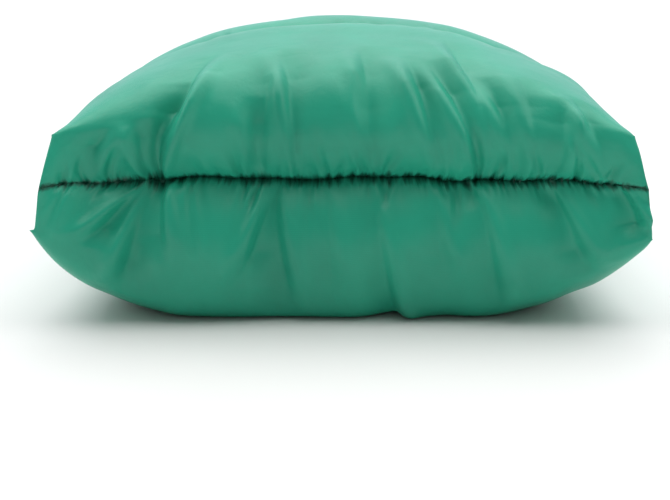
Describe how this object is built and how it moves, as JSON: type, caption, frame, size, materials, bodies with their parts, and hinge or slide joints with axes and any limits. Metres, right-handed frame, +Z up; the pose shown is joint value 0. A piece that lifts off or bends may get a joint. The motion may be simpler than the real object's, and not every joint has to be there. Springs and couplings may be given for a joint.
{
  "type": "camp pillow",
  "caption": "Stuffed camp pillow: a quilted green nylon cover with boxed corners and a seam at mid-height, a zip along the rear and a removable inner pillow.",
  "frame": {"origin": "on the table under the middle of the pillow", "axes": "+X along the pillow's length, +Y from the front to the zip at the rear, +Z up"},
  "size_m": [0.38, 0.285, 0.1907],
  "materials": {
    "shell": "satin",
    "lining": "matte",
    "batting": "matte",
    "ticking": "matte",
    "binding": "matte",
    "thread": "satin",
    "tape": "matte",
    "coil": "satin",
    "metal": "satin"
  },
  "bodies": {
    "cover": {"top_shell": "shell", "top_lining": "lining", "insert_ticking_top": "ticking", "top_front_batting": "batting", "top_rear_batting": "batting", "quilting_thread_top": "thread", "bottom_shell": "shell", "bottom_lining": "lining", "insert_ticking_bottom": "ticking", "bottom_front_batting": "batting", "bottom_rear_batting": "batting", "quilting_thread_bottom": "thread", "insert_fill": "batting", "seam_binding_front": "binding", "seam_binding_left": "binding", "seam_binding_right": "binding", "seam_binding_rear_left": "binding", "seam_binding_rear_right": "binding", "corner_binding_front_left": "binding", "corner_binding_front_right": "binding", "corner_binding_rear_left": "binding", "corner_binding_rear_right": "binding", "zip_tape_upper": "tape", "zip_coil_upper": "coil", "zip_stop_upper": "metal", "zip_tape_lower": "tape", "zip_coil_lower": "coil", "zip_stop_lower": "metal", "zip_bottom_stop": "metal"},
    "slider": {"zip_slider_body": "metal"},
    "pull": {"zip_pull_tab": "metal"}
  },
  "joints": [
    {"name": "zip_slide", "type": "slide", "parent": "cover", "child": "slider", "axis": [1, 0, 0], "range_m": [-0.186, 0]},
    {"name": "pull_swing", "type": "hinge", "parent": "slider", "child": "pull", "pos_m": [0.0931, 0.12775, 0.095], "axis": [0, 0, -1], "range_deg": [0, 175]}
  ]
}
